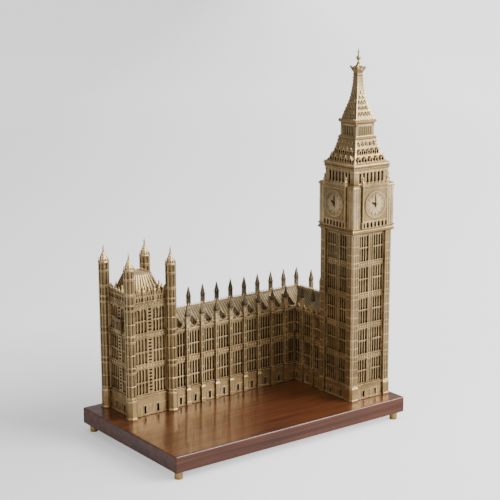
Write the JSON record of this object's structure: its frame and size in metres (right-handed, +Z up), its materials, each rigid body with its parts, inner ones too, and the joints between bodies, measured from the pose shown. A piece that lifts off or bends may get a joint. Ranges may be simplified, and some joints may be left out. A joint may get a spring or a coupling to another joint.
{
  "type": "miniature landmark model",
  "caption": "Cast metal model of a Gothic clock tower with an angled wing and a turreted pavilion, on a varnished wooden board with turned feet.",
  "frame": {"origin": "centre of the board's footprint at the bottom of the feet", "axes": "+Z up, +X along the long wing towards the clock tower, +Y to the back"},
  "size_m": [0.36, 0.218, 0.4855],
  "materials": {
    "antique_brass": "antiqued cast brass, dark in the recesses, rubbed on the edges",
    "polished_brass": "turned and polished",
    "walnut_board": "semi-gloss varnish over straight grain",
    "steel": "plain steel screws"
  },
  "bodies": {
    "root": {"base_board": "walnut_board", "battlement": "antique_brass", "belfry_arcade": "antique_brass", "clock_hands": "antique_brass", "clock_stage": "antique_brass", "crown": "antique_brass", "deck_screws": "steel", "dials": "antique_brass", "finial": "antique_brass", "foot_back_left": "polished_brass", "foot_back_right": "polished_brass", "foot_front_left": "polished_brass", "foot_front_right": "polished_brass", "lantern": "antique_brass", "long_wing_back_buttresses": "antique_brass", "long_wing_back_parapet": "antique_brass", "long_wing_back_wall": "antique_brass", "long_wing_front_buttresses": "antique_brass", "long_wing_front_parapet": "antique_brass", "long_wing_front_wall": "antique_brass", "long_wing_pinnacles": "antique_brass", "long_wing_plinth": "antique_brass", "long_wing_ridge_cresting": "antique_brass", "long_wing_roof": "antique_brass", "lower_roof": "antique_brass", "lower_roof_dormers": "antique_brass", "pavilion_back_wall": "antique_brass", "pavilion_front_wall": "antique_brass", "pavilion_left_wall": "antique_brass", "pavilion_oriel": "antique_brass", "pavilion_parapet": "antique_brass", "pavilion_plinth": "antique_brass", "pavilion_right_wall": "antique_brass", "pavilion_roof": "antique_brass", "short_wing_buttresses": "antique_brass", "short_wing_inner_parapet": "antique_brass", "short_wing_inner_wall": "antique_brass", "short_wing_outer_parapet": "antique_brass", "short_wing_outer_wall": "antique_brass", "short_wing_pinnacles": "antique_brass", "short_wing_plinth": "antique_brass", "short_wing_ridge_cresting": "antique_brass", "short_wing_roof": "antique_brass", "tower_back_wall": "antique_brass", "tower_buttress_back_left": "antique_brass", "tower_buttress_back_right": "antique_brass", "tower_buttress_front_left": "antique_brass", "tower_buttress_front_right": "antique_brass", "tower_front_wall": "antique_brass", "tower_left_wall": "antique_brass", "tower_plinth": "antique_brass", "tower_right_wall": "antique_brass", "turret_back_left": "antique_brass", "turret_back_right": "antique_brass", "turret_front_left": "antique_brass", "turret_front_right": "antique_brass", "turret_spirelets": "antique_brass", "upper_spire": "antique_brass"}
  },
  "joints": []
}
